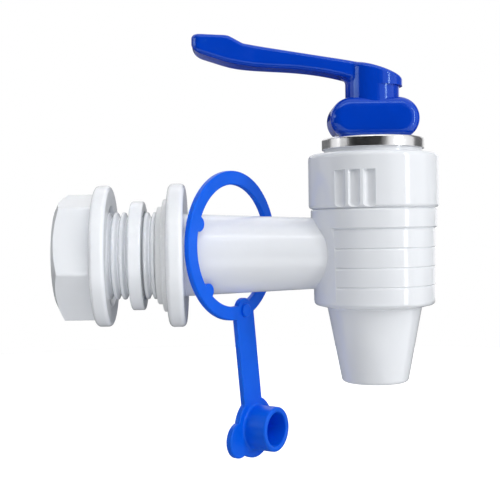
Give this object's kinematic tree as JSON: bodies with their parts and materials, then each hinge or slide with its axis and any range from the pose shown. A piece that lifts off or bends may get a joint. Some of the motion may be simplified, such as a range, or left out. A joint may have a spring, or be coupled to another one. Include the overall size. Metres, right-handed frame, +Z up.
{
  "type": "water purifier tap",
  "caption": "Lever dispenser tap with threaded shank, back nut, sealing flange, banded spout body, rocking cam lever and dust plug on a leash.",
  "frame": {"origin": "centre of the sealing flange's wall-side face, on the shank's axis", "axes": "+X along the shank from the wall towards the spout body, +Z up along the spout body's axis, -Y to the front"},
  "size_m": [0.0902, 0.034, 0.1017],
  "materials": {
    "white_plastic": "glossy white moulded plastic",
    "blue_plastic": "glossy royal blue moulded plastic",
    "soft_blue_plastic": "soft satin blue moulded plastic",
    "clear_silicone": "milky translucent silicone",
    "black_rubber": "smooth black rubber",
    "chrome": "polished chrome",
    "steel": "drawn stainless steel",
    "stem_plastic": "natural white plain plastic"
  },
  "bodies": {
    "root": {"valve_body": "white_plastic", "shank_washer": "white_plastic", "shank_gasket": "clear_silicone", "bonnet": "white_plastic", "bonnet_o_ring": "black_rubber", "chrome_cap": "chrome", "dust_plug_leash": "soft_blue_plastic"},
    "nut": {"back_nut": "white_plastic"},
    "swivel": {"spring": "steel", "slip_washer": "stem_plastic"},
    "stem": {"stem": "stem_plastic", "stem_o_ring_lower": "black_rubber", "stem_o_ring_upper": "black_rubber", "seat_seal": "clear_silicone"},
    "lever": {"lever": "blue_plastic", "lever_pin": "steel"}
  },
  "joints": [
    {"name": "nut_travel", "type": "slide", "parent": "root", "child": "nut", "axis": [1, 0, 0], "range_m": [0, 0.0045]},
    {"name": "lever_swivel", "type": "hinge", "parent": "root", "child": "swivel", "pos_m": [0.0487, 0, 0], "axis": [0, 0, 1], "continuous": true},
    {"name": "stem_lift", "type": "slide", "parent": "swivel", "child": "stem", "axis": [0, 0, 1], "range_m": [0, 0.00243], "stiffness_N_per_m": 1500, "springref_m": -0.004, "deforming": ["spring"]},
    {"name": "lever_press", "type": "hinge", "parent": "stem", "child": "lever", "pos_m": [0.0487, 0, 0.03145], "axis": [0, -1, 0], "range_deg": [0, 25]}
  ],
  "couplings": [
    {"joint": "lever_press", "follows": "stem_lift", "rad_per_m": 179.86}
  ]
}
